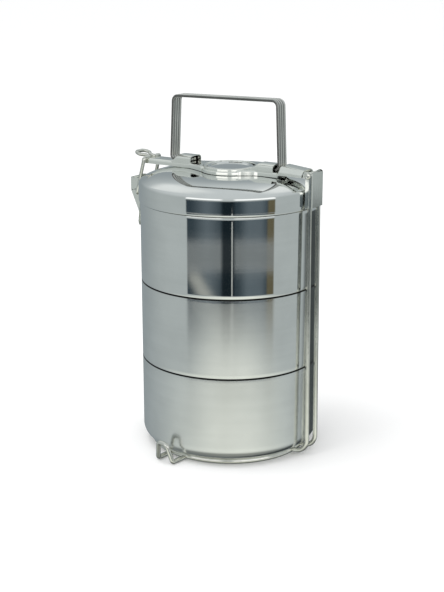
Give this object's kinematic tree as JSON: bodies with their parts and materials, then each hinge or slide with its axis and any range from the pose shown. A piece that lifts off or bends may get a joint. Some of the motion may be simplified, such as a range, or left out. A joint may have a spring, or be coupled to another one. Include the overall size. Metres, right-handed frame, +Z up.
{
  "type": "tiffin carrier",
  "caption": "Stacked round lunch bowls with a lid on a wire base ring, held by side wires under a hinged top arm with a strap handle and a bail latch.",
  "frame": {"origin": "on the ground, under the middle of the whole object's box; the bowls' common axis is vertical and stands 6.55 mm towards +X from it", "axes": "+Z up along the bowls' axis, +X towards the hinge, -X towards the latch, -Y towards the front"},
  "size_m": [0.1675, 0.1618, 0.2763],
  "materials": {
    "bowl_steel": "polished with fine circumferential brushing",
    "wire_steel": "drawn wire, satin",
    "clamp_steel": "pressed sheet, polished",
    "strap_steel": "ribbed strip, satin"
  },
  "bodies": {
    "cradle": {"base_ring": "wire_steel", "front_foot": "wire_steel", "rear_foot": "wire_steel", "hinge_wire_front": "wire_steel", "hinge_wire_rear": "wire_steel", "latch_wire": "wire_steel", "hinge_bracket": "clamp_steel", "hinge_pin": "wire_steel"},
    "lower_tier": {"bottom_bowl": "bowl_steel"},
    "middle_tier": {"middle_bowl": "bowl_steel"},
    "upper_tier": {"top_bowl": "bowl_steel"},
    "cover": {"lid": "bowl_steel"},
    "arm": {"top_arm": "clamp_steel", "left_handle_hood": "clamp_steel", "right_handle_hood": "clamp_steel", "carrying_handle": "strap_steel"},
    "lever": {"latch_lever": "clamp_steel"},
    "bail": {"latch_bail": "wire_steel"}
  },
  "joints": [
    {"name": "arm_hinge", "type": "hinge", "parent": "cradle", "child": "arm", "pos_m": [0.07995, 0, 0.2228], "axis": [0, 1, 0], "range_deg": [0, 100]},
    {"name": "latch_lever_swing", "type": "hinge", "parent": "cradle", "child": "lever", "pos_m": [-0.07995, 0, 0.2022], "axis": [0, 1, 0], "range_deg": [0, 95]},
    {"name": "latch_bail_swing", "type": "hinge", "parent": "lever", "child": "bail", "pos_m": [-0.07595, 0, 0.1937], "axis": [0, 1, 0], "range_deg": [-124, 0]},
    {"name": "bottom_bowl_lift", "type": "slide", "parent": "cradle", "child": "lower_tier", "axis": [0, 0, 1], "range_m": [0, 0.00703]},
    {"name": "middle_bowl_lift", "type": "slide", "parent": "lower_tier", "child": "middle_tier", "axis": [0, 0, 1], "range_m": [0, 0.00633]},
    {"name": "top_bowl_lift", "type": "slide", "parent": "middle_tier", "child": "upper_tier", "axis": [0, 0, 1], "range_m": [0, 0.00337]},
    {"name": "lid_lift", "type": "slide", "parent": "upper_tier", "child": "cover", "axis": [0, 0, 1], "range_m": [0, 0.0018]}
  ],
  "couplings": [
    {"joint": "latch_bail_swing", "follows": "latch_lever_swing", "ratio": -1.3},
    {"joint": "bottom_bowl_lift", "follows": "arm_hinge", "m_per_rad": 0.004},
    {"joint": "middle_bowl_lift", "follows": "arm_hinge", "m_per_rad": 0.0036},
    {"joint": "top_bowl_lift", "follows": "arm_hinge", "m_per_rad": 0.0019},
    {"joint": "lid_lift", "follows": "arm_hinge", "m_per_rad": 0.001}
  ]
}
